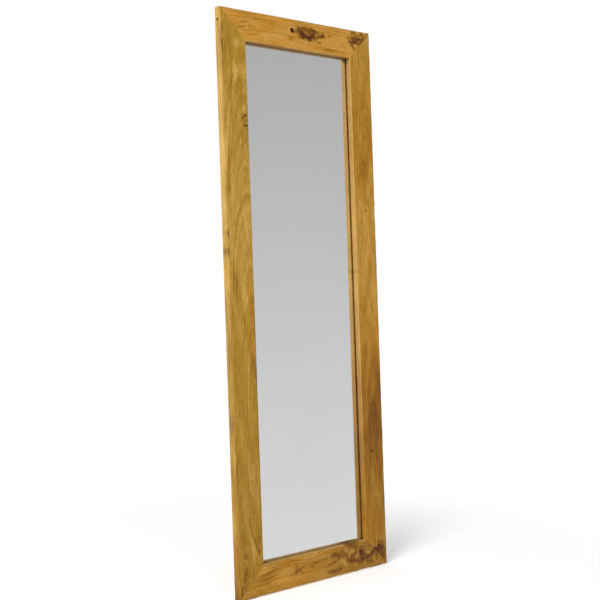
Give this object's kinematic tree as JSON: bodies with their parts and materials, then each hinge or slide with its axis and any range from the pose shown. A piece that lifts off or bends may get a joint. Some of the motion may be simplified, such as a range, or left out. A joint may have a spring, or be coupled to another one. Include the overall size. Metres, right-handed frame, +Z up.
{
  "type": "floor mirror",
  "caption": "Full-length mirror in a wide mitred wooden frame that leans back on a fold-out stand hinged behind it.",
  "frame": {"origin": "on the floor, in the middle of the box that holds the open mirror", "axes": "+Z up, the glass faces -Y, +X to the right of a person who looks into the glass"},
  "size_m": [0.6, 0.27, 1.7006],
  "materials": {
    "frame_wood": "waxed satin",
    "stand_wood": "waxed satin",
    "beech": "raw",
    "mirror_glass": "polished silvered glass",
    "foam": "matt foam",
    "panel_board": "smooth hardboard",
    "zinc_plate": "zinc plated",
    "zinc_screws": "yellow zinc plated",
    "hinge_brass": "satin",
    "brass_screws": "satin",
    "hinge_pin_steel": "drawn wire",
    "pad_rubber": "matt"
  },
  "bodies": {
    "frame": {"left_stile": "frame_wood", "right_stile": "frame_wood", "top_rail": "frame_wood", "bottom_rail": "frame_wood", "mitre_splines": "beech", "mirror_glass": "mirror_glass", "foam_strips": "foam", "back_panel": "panel_board", "back_panel_screws": "zinc_screws", "corner_plate_top_left": "zinc_plate", "corner_plate_top_right": "zinc_plate", "corner_plate_bottom_left": "zinc_plate", "corner_plate_bottom_right": "zinc_plate", "corner_plate_screws": "zinc_screws", "hinge_board": "stand_wood", "hinge_board_screws": "zinc_screws", "left_hinge_fixed_leaf": "hinge_brass", "right_hinge_fixed_leaf": "hinge_brass", "fixed_leaf_screws": "brass_screws", "left_hinge_pin": "hinge_pin_steel", "right_hinge_pin": "hinge_pin_steel", "frame_left_pad": "pad_rubber", "frame_right_pad": "pad_rubber"},
    "stand": {"stand_left_leg": "stand_wood", "stand_right_leg": "stand_wood", "stand_upper_rung": "stand_wood", "stand_lower_rung": "stand_wood", "left_hinge_moving_leaf": "hinge_brass", "right_hinge_moving_leaf": "hinge_brass", "moving_leaf_screws": "brass_screws", "stand_left_pad": "pad_rubber", "stand_right_pad": "pad_rubber"}
  },
  "joints": [
    {"name": "stand_fold", "type": "hinge", "parent": "frame", "child": "stand", "pos_m": [0, -0.02548, 1.11896], "axis": [-1, 0, 0], "range_deg": [0, 10]}
  ]
}
